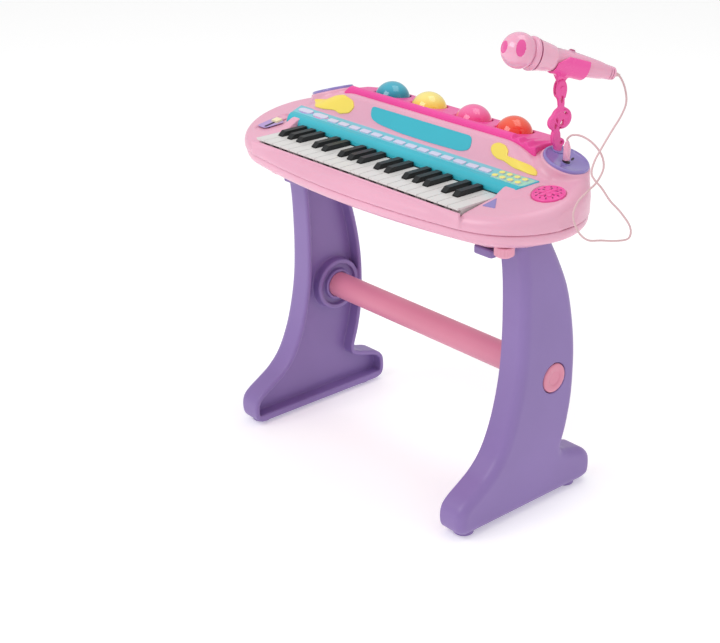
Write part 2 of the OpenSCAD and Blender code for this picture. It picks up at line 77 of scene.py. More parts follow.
def obj_from(name, verts, faces, smooth=True, mat=None):
    me = bpy.data.meshes.new(name)
    me.from_pydata([tuple(float(x) for x in v) for v in verts], [], faces)
    me.validate()
    if smooth:
        me.polygons.foreach_set("use_smooth", [True] * len(me.polygons))
    ob = bpy.data.objects.new(name, me)
    scene.collection.objects.link(ob)
    if mat:
        me.materials.append(mat)
    return ob


# ---------------------------------------------------------------- cord (route in millimetres, as in the part)
mic_d = np.array([-0.3265, -0.8986, 0.2932])
mic_c = np.array([177.2, 48.7, 519.5])
tail = mic_c - 67.75 * mic_d
route = [tail, tail - 5 * mic_d, (204, 117, 493), (208, 119, 483), (214, 115, 470), (220, 100, 459), (227, 78, 449), (235, 54, 438), (243, 33, 429),
         (250, 20, 420), (255, 20, 413), (259, 27, 404), (263, 38, 388), (267, 52, 373), (270, 66, 354), (269, 66, 341), (268, 45, 343), (267, 22, 349), (264, 4, 353),
         (261, -9, 365), (258, -15, 383), (255, -5, 395), (253, 12, 402), (249, 31, 407), (243, 48, 417), (236, 52, 429), (226, 49, 440), (214, 45, 446), (204, 41, 446), (198.1, 40.1, 441), (198.1, 40.1, 437.5)]
cd = bpy.data.curves.new("cord", "CURVE")
cd.dimensions = "3D"
cord_line = spline(route, 4)
sp = cd.splines.new("POLY")
sp.points.add(len(cord_line) - 1)
for i, q in enumerate(cord_line):
    sp.points[i].co = (q[0] * MM, q[1] * MM, q[2] * MM, 1)
cd.bevel_depth = 1.1 * MM
cd.bevel_resolution = 3
cord = bpy.data.objects.new("cord", cd)
scene.collection.objects.link(cord)


# ---------------------------------------------------------------- materials
def plastic(name, colour, rough=0.3, grain=0.05, var=0.04, coat=0.0, sss=0.0, sss_col=None, trans=0.0, edge=0.0007, scale=1.0, ior=1.49, spec=0.5):
    """Injection-moulded plastic: fine texture in the surface, slow colour and gloss variation, soft edges."""
    m = bpy.data.materials.new(name)
    m.use_nodes = True
    nt = m.node_tree
    N, L = nt.nodes, nt.links
    b = N["Principled BSDF"]
    tc = N.new("ShaderNodeTexCoord")
    big = N.new("ShaderNodeTexNoise"); big.inputs["Scale"].default_value = 9 * scale; big.inputs["Detail"].default_value = 3
    L.new(tc.outputs["Object"], big.inputs["Vector"])
    ramp = N.new("ShaderNodeValToRGB")
    c = lin(colour)
    lo = tuple(max(0, x * (1 - var)) for x in c[:3]) + (1,)
    hi = tuple(min(1, x * (1 + var)) for x in c[:3]) + (1,)
    ramp.color_ramp.elements[0].position = 0.3; ramp.color_ramp.elements[0].color = lo
    ramp.color_ramp.elements[1].position = 0.7; ramp.color_ramp.elements[1].color = hi
    L.new(big.outputs["Fac"], ramp.inputs["Fac"])
    L.new(ramp.outputs["Color"], b.inputs["Base Color"])
    mid = N.new("ShaderNodeTexNoise"); mid.inputs["Scale"].default_value = 60 * scale; mid.inputs["Detail"].default_value = 4
    L.new(tc.outputs["Object"], mid.inputs["Vector"])
    rr = N.new("ShaderNodeMapRange")
    rr.inputs["To Min"].default_value = rough * 0.85
    rr.inputs["To Max"].default_value = rough * 1.18
    L.new(mid.outputs["Fac"], rr.inputs["Value"])
    L.new(rr.outputs["Result"], b.inputs["Roughness"])
    fine = N.new("ShaderNodeTexNoise"); fine.inputs["Scale"].default_value = 2200; fine.inputs["Detail"].default_value = 2
    L.new(tc.outputs["Object"], fine.inputs["Vector"])
    bump = N.new("ShaderNodeBump"); bump.inputs["Strength"].default_value = grain; bump.inputs["Distance"].default_value = 0.0002
    L.new(fine.outputs["Fac"], bump.inputs["Height"])
    if edge:
        bev = N.new("ShaderNodeBevel"); bev.samples = 4; bev.inputs["Radius"].default_value = edge
        L.new(bev.outputs["Normal"], bump.inputs["Normal"])
    L.new(bump.outputs["Normal"], b.inputs["Normal"])
    b.inputs["IOR"].default_value = ior
    b.inputs["Specular IOR Level"].default_value = spec
    b.inputs["Coat Weight"].default_value = coat
    b.inputs["Coat Roughness"].default_value = 0.12
    if sss:
        b.inputs["Subsurface Weight"].default_value = sss
        b.inputs["Subsurface Radius"].default_value = (0.006, 0.003, 0.003)
        b.inputs["Subsurface Scale"].default_value = 1.0
    b.inputs["Transmission Weight"].default_value = trans
    return m


M = {}
M["pink_shell"] = plastic("moulded_pink", "E8ACC3", 0.3, sss=0.08, edge=0)
M["violet_stand"] = plastic("moulded_violet", "8A71AE", 0.38, edge=0)
M["magenta"] = plastic("gloss_magenta", "F457A8", 0.26, coat=0.1, edge=0)
M["teal_panel"] = plastic("gloss_teal", "38B8CA", 0.3, edge=0)
M["white_key"] = plastic("key_white", "E0DEDC", 0.22, grain=0.02, var=0.02)
M["black_key"] = plastic("key_black", "1E2022", 0.4, grain=0.03, var=0.1, spec=0.35)
M["frame_grey"] = plastic("inner_grey", "A9A9AE", 0.5)
M["dome_blue"] = plastic("dome_blue", "1B93AD", 0.14, coat=0.4, grain=0.01)
M["dome_yellow"] = plastic("dome_yellow", "FBDD4E", 0.14, coat=0.4, grain=0.01)
M["dome_pink"] = plastic("dome_pink", "F7558F", 0.14, coat=0.4, grain=0.01)
M["dome_red"] = plastic("dome_red", "EE3120", 0.14, coat=0.4, grain=0.01)
M["button"] = plastic("button_lilac", "D6D4EC", 0.3)
M["slider"] = plastic("slider_cream", "F6E9C0", 0.35)
M["disc_purple"] = plastic("disc_purple", "8E80C4", 0.2, coat=0.35, edge=0)
M["crossbar_pink"] = plastic("crossbar_pink", "DE8AA3", 0.36, edge=0)
M["knob_pink"] = plastic("knob_pink", "F0ABC1", 0.34, edge=0)
M["mic_pink"] = plastic("mic_pink", "EEABC6", 0.12, sss=0.35, coat=0.5, edge=0)
M["cord_pink"] = plastic("cord_pink", "DDB9BC", 0.45, edge=0)

for sub in frame["record"]["subparts"]:
    o = NODES[sub["node"]]
    o.data.materials.clear()
    o.data.materials.append(M[sub["material_slot"]])
    o.data.shade_smooth()
    o.data.set_sharp_from_angle(angle=math.radians(32))

cd.materials.append(M["cord_pink"])
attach(cord, "console")
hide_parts("mic_cord")

# BEGIN PIECES
# ---------------------------------------------------------------- distance-field modelling of the moulded pieces
H = np.hypot


def rmax(a, b, r):
    return np.minimum(-r, np.maximum(a, b)) + H(np.maximum(a + r, 0), np.maximum(b + r, 0))


def rmin(a, b, r):
    return -rmax(-a, -b, r)


def polyd(px, py, pts, r=0.0):
    """Distance to a convex polygon given anticlockwise, with rounded corners."""
    d = None
    for (ax, ay), (bx, by) in zip(pts, pts[1:] + pts[:1]):
        l = math.hypot(bx - ax, by - ay)
        e = ((px - ax) * (by - ay) - (py - ay) * (bx - ax)) / l
        d = e if d is None else (rmax(d, e, r) if r else np.maximum(d, e))
    return d


def nets(name, f, lo, hi, h, mat, body, node=None, steps=1):
    """Mesh of the surface f = 0 (millimetres, negative inside) by surface nets."""
    lo = np.array(lo, float)
    n = np.ceil((np.array(hi, float) - lo) / h).astype(int) + 1
    g = [lo[i] + h * np.arange(n[i]) for i in range(3)]
    V = np.broadcast_to(f(g[0][:, None, None], g[1][None, :, None], g[2][None, None, :]), tuple(n)).astype(np.float64)
    V = V.copy()
    V[[0, -1]] = np.maximum(V[[0, -1]], 0.01)
    V[:, [0, -1]] = np.maximum(V[:, [0, -1]], 0.01)
    V[:, :, [0, -1]] = np.maximum(V[:, :, [0, -1]], 0.01)
    S = V < 0
    st = np.array([n[1] * n[2], n[2], 1])
    tot = int(np.prod(n))
    acc = np.zeros((3, tot))
    cnt = np.zeros(tot)
    quads = []
    for a in range(3):
        sl0 = [slice(None)] * 3
        sl1 = [slice(None)] * 3
        sl0[a] = slice(0, -1)
        sl1[a] = slice(1, None)
        s0, s1 = S[tuple(sl0)], S[tuple(sl1)]
        idx = np.array(np.nonzero(s0 != s1))
        v0 = V[tuple(sl0)][tuple(idx)]
        v1 = V[tuple(sl1)][tuple(idx)]
        t = v0 / (v0 - v1)
        pos = idx.astype(float)
        pos[a] += t
        ids = idx[0] * st[0] + idx[1] * st[1] + idx[2]
        a1, a2 = (a + 1) % 3, (a + 2) % 3
        cells = []
        for d1, d2 in ((1, 1), (0, 1), (0, 0), (1, 0)):
            c = ids - d1 * st[a1] - d2 * st[a2]
            cells.append(c)
            for k in range(3):
                acc[k] += np.bincount(c, weights=pos[k], minlength=tot)
            cnt += np.bincount(c, minlength=tot)
        q = np.stack(cells, 1)
        flip = ~s0[tuple(idx)]
        q[flip] = q[flip][:, ::-1]
        quads.append(q)
    used = np.nonzero(cnt)[0]
    remap = np.full(tot, -1)
    remap[used] = np.arange(len(used))
    P = (acc[:, used] / cnt[used]).T * h + lo
    Q = remap[np.concatenate(quads)]
    e = h * 0.05
    for _ in range(steps):
        x, y, z = P.T
        v = f(x, y, z)
        gx = (f(x + e, y, z) - f(x - e, y, z)) / (2 * e)
        gy = (f(x, y + e, z) - f(x, y - e, z)) / (2 * e)
        gz = (f(x, y, z + e) - f(x, y, z - e)) / (2 * e)
        g2 = np.maximum(gx * gx + gy * gy + gz * gz, 0.2)
        P = P - np.clip(v / g2, -h * 0.5, h * 0.5)[:, None] * np.stack([gx, gy, gz], 1)
    me = bpy.data.meshes.new(name)
    me.vertices.add(len(P))
    me.vertices.foreach_set("co", (P * MM).astype(np.float32).ravel())
    me.loops.add(len(Q) * 4)
    me.loops.foreach_set("vertex_index", Q.astype(np.int32).ravel())
    me.polygons.add(len(Q))
    me.polygons.foreach_set("loop_start", np.arange(0, len(Q) * 4, 4, dtype=np.int32))
    me.polygons.foreach_set("loop_total", np.full(len(Q), 4, dtype=np.int32))
    me.update(calc_edges=True)
    me.validate()
    me.polygons.foreach_set("use_smooth", [True] * len(me.polygons))
    ob = bpy.data.objects.new(name, me)
    scene.collection.objects.link(ob)
    me.materials.append(mat)
    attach(ob, body)
    if node:
        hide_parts(*([node] if isinstance(node, str) else node))
    return ob


END_R, END_X, MID_Y, FRONT_Y, REAR_Y = 90.5, 158.5, -8.0, 105.5, 108.0
RF = (END_X ** 2 + FRONT_Y ** 2 - END_R ** 2) / (2 * (FRONT_Y - END_R))
RR = (END_X ** 2 + REAR_Y ** 2 - END_R ** 2) / (2 * (REAR_Y - END_R))
CF, CR = RF - FRONT_Y, REAR_Y - RR


def outline_d(x, y):
    ax, yy = np.abs(x), y - MID_Y
    df, dr, de = H(ax, yy - CF) - RF, H(ax, yy - CR) - RR, H(ax - END_X, yy) - END_R
    vf = ax * CF <= END_X * (CF - yy)
    vr = ax * (-CR) <= END_X * (yy - CR)
    return np.where(vf & vr, np.maximum(df, dr), np.where(vf, df, np.where(vr, dr, de)))


TT = math.radians(9.7)
cT, sT = math.cos(TT), math.sin(TT)


def to_top(y, z):
    return (y + 4) * cT + (z - 394.6) * sT, -(y + 4) * sT + (z - 394.6) * cT


def from_top(x, yl, zl):
    return (x, -4 + yl * cT - zl * sT, 394.6 + yl * sT + zl * cT)


DISC = (193.5, 45.5, 415.0)
c3, s3, c20, s20 = math.cos(math.radians(3)), math.sin(math.radians(3)), math.cos(math.radians(20)), math.sin(math.radians(20))


def to_disc(ax, y, z):
    px, py, pz = ax - DISC[0], y - DISC[1], z - DISC[2]
    y1, z1 = py * c3 - pz * s3, py * s3 + pz * c3
    return px * c20 - z1 * s20, y1, px * s20 + z1 * c20


def from_disc(lx, ly, lz, s=1):
    x1, z1 = lx * c20 + lz * s20, -lx * s20 + lz * c20
    return (s * (DISC[0] + x1), DISC[1] + ly * c3 + z1 * s3, DISC[2] - ly * s3 + z1 * c3)


def f_hump(x, y, z):
    ax = np.abs(x)
    front = (-(y - 1.5) * 21.5 + (z - 401.5) * 14) / 25.66
    top = ((y - 19) * 10.6 + (z - 427.8) * 67) / 67.83
    rear = ((y - 86) * 10 + (z - 414) * 8) / 12.8
    ends = ((ax - 150) * 24.5 + (z - 424) * 46) / 52.1
    d = rmax(rmax(front, top, 4), rear, 7)
    d = rmax(d, ends, 9)
    return rmax(d, outline_d(x, y) + 5, 8)


def f_upper(x, y, z):
    ax = np.abs(x)
    yl, zl = to_top(y, z)
    d = rmax(outline_d(x, yl) + 0.11 * np.maximum(0, -zl - 20), zl, 13.5)
    lx, ly, lz = to_disc(ax, y, z)
    p = rmax((H(lx, ly) - 28.2 - 0.117 * (-1.6 - lz)) * 0.993, lz + 1.2, 1.6)
    # raised seat of the control panel and the low wall in front of the keys
    around = polyd(x, y, [(-194, -30), (185, -30), (194.6, 3), (-203.6, 3)], 5)
    seat = rmax(rmax((z - 399.3 - (y + 4) * 0.16 + 0.55 * np.maximum(around, 0)) * 0.86, around - 11, 4), 380 - z, 1)
    d = rmin(d, seat, 6)
    d = rmin(d, f_hump(x, y, z), 2.5)
    d = rmin(d, rmax(p, -36 - lz, 6), 7)
    wall = rmax(rmax(ax - 175.5, np.abs(y + 97.3) - 1.9, 1.5), z - 382.4, 1.0)
    d = rmin(d, np.maximum(wall, 366 - z), 3)
    d = rmax(d, 364.3 - z, 0.8)
    bed = np.maximum(np.maximum(ax - 172, y + 12), -95.8 - y)
    d = rmax(d, -bed, 1.1)
    # recess and slot of the slider on the left, seat of the grille on the right
    rec = np.maximum(polyd(x, yl, [(-212, -64), (-187, -64), (-183.5, -18), (-213, -14)], 5), -1.6 - zl)
    d = rmax(d, -rec, 0.7)
    d = np.maximum(d, -np.maximum(np.maximum(np.abs(x + 201) - 2, np.abs(yl + 36) - 16), -8 - zl))
    d = rmax(d, -np.maximum(H(x - 217, yl + 3.5) - 18.8, -1.4 - zl), 0.7)
    # wells of the drum pads
    for px in (37, 101):
        d = np.maximum(d, -np.maximum(H(ax - px, y - 61.5) - 23, 396 - z))
    return d


upper = nets("upper_shell", f_upper, (-247, -116, 361.5), (247, 116, 428), 1.3, M["pink_shell"], "console", "upper_casing")

SCREWS = [(sx, sy) for sx in (-120, 0, 120) for sy in (-78, 70)]


def f_lower(x, y, z):
    ax = np.abs(x)
    o = outline_d(x, y)
    zb = np.interp(o, [-200, -60, -52, -44, -36, -21, -9, -3.5, 10], [329.9, 329.9, 330.2, 333.4, 337.5, 344, 349.3, 352.3, 360])
    d = rmax((zb - z) * 0.91, o + 2, 6)
    d = rmax(d, z - 363.5, 0.9)
    d = rmax(d, -np.maximum(np.maximum(np.abs(ax - 186) - 18.6, np.abs(y + 2) - 34), z - 345), 0.8)
    d = rmax(d, -np.maximum(np.maximum(np.abs(ax - 193.6) - 18, np.abs(y + 42) - 15), z - 337), 0.8)
    d = rmax(d, -np.maximum(np.maximum(ax - 54.6, np.abs(y - 25) - 22.6), z - 354), 0.6)
    for sx, sy in SCREWS:
        d = rmax(d, -np.maximum(H(x - sx, y - sy) - 3.2, z - 346), 0.5)
    return d


lower = nets("lower_shell", f_lower, (-247, -116, 327), (247, 105, 366.5), 1.5, M["pink_shell"], "console", "lower_casing")


M["rail"] = plastic("rail_magenta", "F04AA2", 0.3, spec=0.4, edge=0)


def f_rail(x, y, z):
    ax = np.abs(x)
    ridge = polyd(y, z, [(24, 410), (38, 410), (38, 428), (35.5, 432), (32, 433.8), (28, 433), (24.6, 429.2)], 2.2)
    plate = rmax(rmax(((y - 40) * 6.2 + (z - 428.4) * 46) / 46.4, y - 87, 2.5), 27 - y, 1.0)
    d = rmin(ridge, plate, 4)
    d = rmax(d, -(H(y - 29.4, z - 434.6) - 1.7), 0.8)
    hh = np.interp(x, [-151, -143, -135, 112, 133, 160, 178], [423, 430, 446, 446, 430.5, 427, 420])
    hh = hh + np.where((x > 120) & (x < 172), 1.9 * np.cos((x - 126.5) * 2 * np.pi / 13.0), 0)
    d = rmax(d, (z - hh) * 0.85, 1.5)
    d = rmax(d, polyd(x, y, [(-151, 60), (-151, 28), (-140, 12.5), (130, 12.5), (178, 30), (178, 60), (140, 90), (-130, 90)], 5), 2)
    d = rmax(d, 33 - H(ax - DISC[0], y - DISC[1]), 2)
    for px in (37, 101):
        d = rmax(d, 22.9 - H(ax - px, y - 61.5), 1.6)
    return np.maximum(d, 411 - z)


rail = nets("drum_rail_shell", f_rail, (-181, 9, 409), (181, 92, 443), 0.95, M["rail"], "console", "drum_rail")

# legs: outline as in the part
front_edge = [(-33, 344), (-27, 322), (-22, 290), (-19.6, 250), (-19, 215), (-20.5, 180), (-26, 145), (-35, 112), (-48, 84), (-64, 66), (-82, 54), (-97, 45), (-106, 37), (-109.5, 27), (-109, 15), (-105.5, 8), (-99, 4)]
rear_edge = [(99, 4), (108, 7), (112, 14), (112.5, 25), (110, 36), (100, 45), (84, 50), (68, 55), (59, 63), (66.5, 92), (72, 125), (73, 160), (71, 195), (64.5, 233), (54, 270), (37, 305), (14, 344)]
lc = np.array(spline(front_edge, 5) + spline(rear_edge, 5))
gy, gz = np.arange(-116, 119, 0.8), np.arange(-2, 352, 0.8)
GY, GZ = np.meshgrid(gy, gz, indexing="ij")
D2 = np.full(GY.shape, 1e9)
inside = np.zeros(GY.shape, bool)
for A, B in zip(lc, np.roll(lc, -1, 0)):
    e = B - A
    t = np.clip(((GY - A[0]) * e[0] + (GZ - A[1]) * e[1]) / max(e @ e, 1e-9), 0, 1)
    D2 = np.minimum(D2, H(GY - A[0] - t * e[0], GZ - A[1] - t * e[1]))
    c = (A[1] > GZ) != (B[1] > GZ)
    with np.errstate(divide="ignore", invalid="ignore"):
        inside ^= c & (GY < (B[0] - A[0]) * (GZ - A[1]) / (B[1] - A[1]) + A[0])
D2 = np.where(inside, -D2, D2)


def leg_d2(y, z):
    u = np.clip((y - gy[0]) / 0.8, 0, len(gy) - 1.001)
    v = np.clip((z - gz[0]) / 0.8, 0, len(gz) - 1.001)
    i, j = u.astype(int), v.astype(int)
    fu, fv = u - i, v - j
    return (D2[i, j] * (1 - fu) + D2[i + 1, j] * fu) * (1 - fv) + (D2[i, j + 1] * (1 - fu) + D2[i + 1, j + 1] * fu) * fv


def f_leg(x, y, z):
    y, z = np.broadcast_arrays(y, z)
    d2 = leg_d2(y, z)
    d = rmax(rmax(d2, x - 204, 11), 168 - x, 3)
    pocket = np.maximum(np.maximum(d2 + 6, x - 184), np.maximum(14 - z, z - 314))
    d = rmax(d, -pocket, 1.6)
    rc = H(y - 34.5, z - 161)
    d = rmin(d, rmax(rc - 34, np.abs(x - 178) - 7, 2), 1.5)
    d = rmax(d, -np.maximum(np.maximum(20.3 - rc, rc - 28), np.abs(x - 173) - 4), 1.0)
    d = np.maximum(d, 16.5 - rc)
    d = rmax(d, -np.maximum(rc - 18.6, 200 - x), 0.5)
    br = rmax(rmax(np.abs(x - 164) - 14, np.abs(y + 28) - 22, 4), np.abs(z - 324.8) - 4.8, 1.5)
    d = rmin(d, br, 2)
    tab = rmax(rmax(np.abs(x - 188) - 10, np.abs(y + 40.5) - 10.5, 5), np.abs(z - 335.1) - 1.5, 0.6)
    d = rmin(d, tab, 1)
    d = np.maximum(d, 2.8 - H(x - 190.5, y + 43.5) + np.where(z > 330, 0, 99) * -1)
    for fy in (-87.5, 83.5):
        d = np.minimum(d, rmax(H(x - 186, y - fy) - 12, np.abs(z - 2.5) - 2.5, 1.2))
    return d


leg_r = nets("right_leg_shell", f_leg, (146, -115, -1.5), (208, 117, 348), 1.6, M["violet_stand"], "console", "right_leg")
leg_l = nets("left_leg_shell", lambda x, y, z: f_leg(-x, y, z), (-208, -115, -1.5), (-146, 117, 348), 1.6, M["violet_stand"], "console", "left_leg")


# ---------------------------------------------------------------- turned pieces
def turned(name, prof, place, mats, body, node=None, n=96, mat_at=None, start=None):
    """Revolves [r, z] (mm) about the local Z axis; place(x, y, z) gives the position in mm."""
    verts, faces, mi = [], [], []
    for r, z in prof:
        for k in range(n):
            a = 2 * math.pi * k / n
            verts.append(tuple(c * MM for c in place(r * math.cos(a), r * math.sin(a), z)))
    for i in range(len(prof) - 1):
        for k in range(n):
            faces.append((i * n + k, i * n + (k + 1) % n, (i + 1) * n + (k + 1) % n, (i + 1) * n + k))
            mi.append(mat_at(i) if mat_at else 0)
    me = bpy.data.meshes.new(name)
    me.from_pydata(verts, [], faces)
    for m in mats:
        me.materials.append(m)
    me.polygons.foreach_set("material_index", mi)
    me.polygons.foreach_set("use_smooth", [True] * len(me.polygons))
    bm = bmesh.new(); bm.from_mesh(me)
    bmesh.ops.remove_doubles(bm, verts=bm.verts, dist=1e-6)
    bmesh.ops.recalc_face_normals(bm, faces=bm.faces)
    bm.to_mesh(me); bm.free()
    me.set_sharp_from_angle(angle=math.radians(50))
    ob = bpy.data.objects.new(name, me)
    scene.collection.objects.link(ob)
    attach(ob, body)
    if node:
        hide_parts(*([node] if isinstance(node, str) else node))
    return ob


def arcp(cx, cz, r, a0, a1, n):
    return [(cx + r * math.cos(math.radians(a0 + (a1 - a0) * i / n)), cz + r * math.sin(math.radians(a0 + (a1 - a0) * i / n))) for i in range(n + 1)]


M["rim_blue"] = plastic("dome_rim_blue", "0F6F87", 0.3)
M["rim_yellow"] = plastic("dome_rim_yellow", "D8B93A", 0.3)
M["rim_pink"] = plastic("dome_rim_pink", "D93E78", 0.3)
M["rim_red"] = plastic("dome_rim_red", "B9241A", 0.3)


def dome_plastic(name, low, painted_top_highlight, rim):
    # Painted light: the colour turns to the second colour where the normal faces up, a painted highlight on the top,
    # and to the third colour at grazing angles, painted shade along the silhouette.
    m = plastic(name, low, 0.1, grain=0.01, coat=0.5, edge=0)
    nt = m.node_tree
    N, L = nt.nodes, nt.links
    b = N["Principled BSDF"]
    src = b.inputs["Base Color"].links[0].from_socket
    tc = N.new("ShaderNodeTexCoord")
    sep = N.new("ShaderNodeSeparateXYZ"); L.new(tc.outputs["Normal"], sep.inputs[0])
    top_highlight_fac = N.new("ShaderNodeMapRange"); top_highlight_fac.interpolation_type = "SMOOTHSTEP"
    top_highlight_fac.inputs["From Min"].default_value = 0.35; top_highlight_fac.inputs["From Max"].default_value = 0.85; top_highlight_fac.inputs["To Max"].default_value = 0.75
    L.new(sep.outputs["Z"], top_highlight_fac.inputs["Value"])
    m1 = N.new("ShaderNodeMix"); m1.data_type = "RGBA"
    L.new(top_highlight_fac.outputs["Result"], m1.inputs["Factor"]); L.new(src, m1.inputs["A"]); m1.inputs["B"].default_value = lin(painted_top_highlight)
    lw = N.new("ShaderNodeLayerWeight"); lw.inputs["Blend"].default_value = 0.35
    silhouette_shade_fac = N.new("ShaderNodeMapRange"); silhouette_shade_fac.interpolation_type = "SMOOTHSTEP"
    silhouette_shade_fac.inputs["From Min"].default_value = 0.78; silhouette_shade_fac.inputs["From Max"].default_value = 0.97; silhouette_shade_fac.inputs["To Max"].default_value = 0.8
    L.new(lw.outputs["Facing"], silhouette_shade_fac.inputs["Value"])
    m2 = N.new("ShaderNodeMix"); m2.data_type = "RGBA"
    L.new(silhouette_shade_fac.outputs["Result"], m2.inputs["Factor"]); L.new(m1.outputs["Result"], m2.inputs["A"]); m2.inputs["B"].default_value = lin(rim)
    L.new(m2.outputs["Result"], b.inputs["Base Color"])
    return m


# Per dome: base colour, painted top highlight, painted silhouette shade.
M["dome_blue"] = dome_plastic("dome_blue_clear", "12869F", "4ABAD2", "0C6078")
M["dome_yellow"] = dome_plastic("dome_yellow_clear", "FBDC4A", "FBEC94", "E3C23C")
M["dome_pink"] = dome_plastic("dome_pink_clear", "F23C8C", "F77DB2", "C42C74")
M["dome_red"] = dome_plastic("dome_red_clear", "F02A1C", "F5694C", "B51C14")
for i, c in enumerate(("blue", "yellow", "pink", "red")):
    px = (-101, -37, 37, 101)[i]
    prof = [(0.0001, -13), (4, -13), (4, -2.5), (19.6, -2.5), (20.4, -2), (22, -2), (22.2, -0.5), (22.2, 1.5), (21.9, 2.6), (21.2, 3.0)] + arcp(0, 0, 21.95, 9, 90, 22)
    prof[-1] = (0.0001, 21.95)
    turned("dome_" + c, prof, lambda x, y, z, px=px: (px + x, 61.5 + y, 419 + z), [M["dome_" + c], M["rim_" + c]], "drum_pad_" + c, "drum_pad_" + c, mat_at=lambda i: 1 if i < 9 else 0)

# end discs: dished face inside a raised ring, the right one with a socket and a slot
for s_, nm in ((-1, "left"), (1, "right")):
    prof = [(26.3, -1.5), (26.4, 0.2), (26.2, 1.2), (25.5, 1.9), (24.4, 2.1), (23.4, 1.9), (22.9, 1.2), (22.5, 1.0), (10, 1.0), (0.0001, 1.0)]
    ob = turned("disc_" + nm, prof, lambda x, y, z, s_=s_: from_disc(x, y, z, s_), [M["disc_purple"]], "console", "end_discs" if s_ > 0 else None, n=128)
# Near-black plastic for thin sheets over the socket and the slots: painted shade standing in for the inside of the
# holes.
painted_hole_shade = plastic("painted_hole_shade_plastic", "2B2338", 0.5)


def prism(name, pts, z0, z1, place, mat, body, bev=0.3, seg=2):
    """Solid between two copies of a polygon (anticlockwise), with bevelled rims."""
    n = len(pts)
    v = [tuple(c * MM for c in place(x, y, z0)) for x, y in pts] + [tuple(c * MM for c in place(x, y, z1)) for x, y in pts]
    f = [tuple(range(n - 1, -1, -1)), tuple(range(n, 2 * n))] + [(i, (i + 1) % n, n + (i + 1) % n, n + i) for i in range(n)]
    me = bpy.data.meshes.new(name)
    me.from_pydata(v, [], f)
    me.materials.append(mat)
    bm = bmesh.new(); bm.from_mesh(me); bmesh.ops.recalc_face_normals(bm, faces=bm.faces); bm.to_mesh(me); bm.free()
    ob = bpy.data.objects.new(name, me)
    scene.collection.objects.link(ob)
    if bev:
        m = ob.modifiers.new("bevel", "BEVEL"); m.width = bev * MM; m.segments = seg; m.limit_method = "ANGLE"; m.angle_limit = math.radians(50)
    me.polygons.foreach_set("use_smooth", [True] * len(me.polygons))
    me.set_sharp_from_angle(angle=math.radians(40))
    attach(ob, body)
    return ob


def circle_pts(cx, cy, r, n=32):
    return [(cx + r * math.cos(2 * math.pi * i / n), cy + r * math.sin(2 * math.pi * i / n)) for i in range(n)]


def oval_pts(cx, cy, rx, ry, n=40, rot=0.0):
    c, s = math.cos(rot), math.sin(rot)
    return [(cx + rx * math.cos(t) * c - ry * math.sin(t) * s, cy + rx * math.cos(t) * s + ry * math.sin(t) * c) for t in [2 * math.pi * i / n for i in range(n)]]


pl = to_disc(198.1, 40.1, 415.6)
prism("socket_ring", circle_pts(pl[0], pl[1], 6.2), 0.9, 1.5, from_disc, M["disc_purple"], "console", 0.25)
# painted shade of the socket hole and of the slot in the disc
prism("socket_hole_painted_shade", circle_pts(pl[0], pl[1], 4.6), 1.4, 1.62, from_disc, painted_hole_shade, "console", 0)
ps = to_disc(195.9, 53.2, 415.7)
prism("slot_hole_painted_shade", oval_pts(ps[0], ps[1], 1.4, 4.2, 24, 0.4), 0.9, 1.12, from_disc, painted_hole_shade, "console", 0)
pt = to_disc(177.2, 48.7, 421)
prism("stem_seat", oval_pts(pt[0], pt[1], 7.5, 6.5), 0.9, 2.0, from_disc, M["disc_purple"], "console", 0.4)

# thumb screws with a ribbed edge
for s_, nm in ((-1, "left"), (1, "right")):
    pts = []
    for k in range(96):
        a = 2 * math.pi * k / 96
        r = 11.3 - 0.75 * (0.5 + 0.5 * math.cos(a * 16)) ** 2
        pts.append((s_ * 190.5 + r * math.cos(a), -43.5 + r * math.sin(a)))
    ob = prism("thumb_screw_" + nm, pts, 327.4, 338, lambda x, y, z: (x, y, z), M["knob_pink"], "console", 0.9, 3)
    if s_ > 0:
        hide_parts("leg_knobs")
    prism("thumb_screw_face_" + nm, circle_pts(s_ * 190.5, -43.5, 8.6, 48), 325.8, 327.8, lambda x, y, z: (x, y, z), M["knob_pink"], "console", 0.6, 3)

# speaker medallion
def topz(x, y, z):
    return from_top(x, y, z)


prof = [(18.2, -1.4), (18.3, 1.0), (17.9, 1.7), (17.2, 2.0), (16.6, 1.9), (16.1, 1.3), (15.4, 1.2), (14.8, 1.4), (13, 2.0), (9, 2.5), (4, 2.7), (0.0001, 2.75)]
turned("speaker_medallion", prof, lambda x, y, z: from_top(217 + x, -3.5 + y, z), [M["magenta"]], "console", "speaker_grille")
# small dark-magenta discs on the plate behind the pads
dark_plate_dot = plastic("rail_dark_dot", "6E2A52", 0.35)
for k, sx in enumerate((-69.0, 0.0, 69.0)):
    prism("rail_screw_%d" % k, oval_pts(sx, 81.0, 1.9, 1.9, 20), -1.0, 0.5, lambda x, y, z: (x, y, 428.4 - (y - 40) * 6.2 / 46 + z), dark_plate_dot, "console", 0.3)
yellow = plastic("relief_yellow", "F8DF60", 0.3)
M["yellow_cap"] = plastic("chord_yellow", "F2EC86", 0.3)
# Dark magenta for thin ovals on the grille: painted shade standing in for the holes.
painted_grille_hole_shade = plastic("painted_grille_hole_shade_plastic", "8E2A63", 0.5)
for k in range(6):
    a = k * math.pi / 3 + 0.3
    prism("grille_petal_%d" % k, oval_pts(217 + 7.6 * math.cos(a), -3.5 + 7.6 * math.sin(a), 3.9, 2.5, 32, a), 1.9, 3.3, topz, M["magenta"], "console", 0.35)
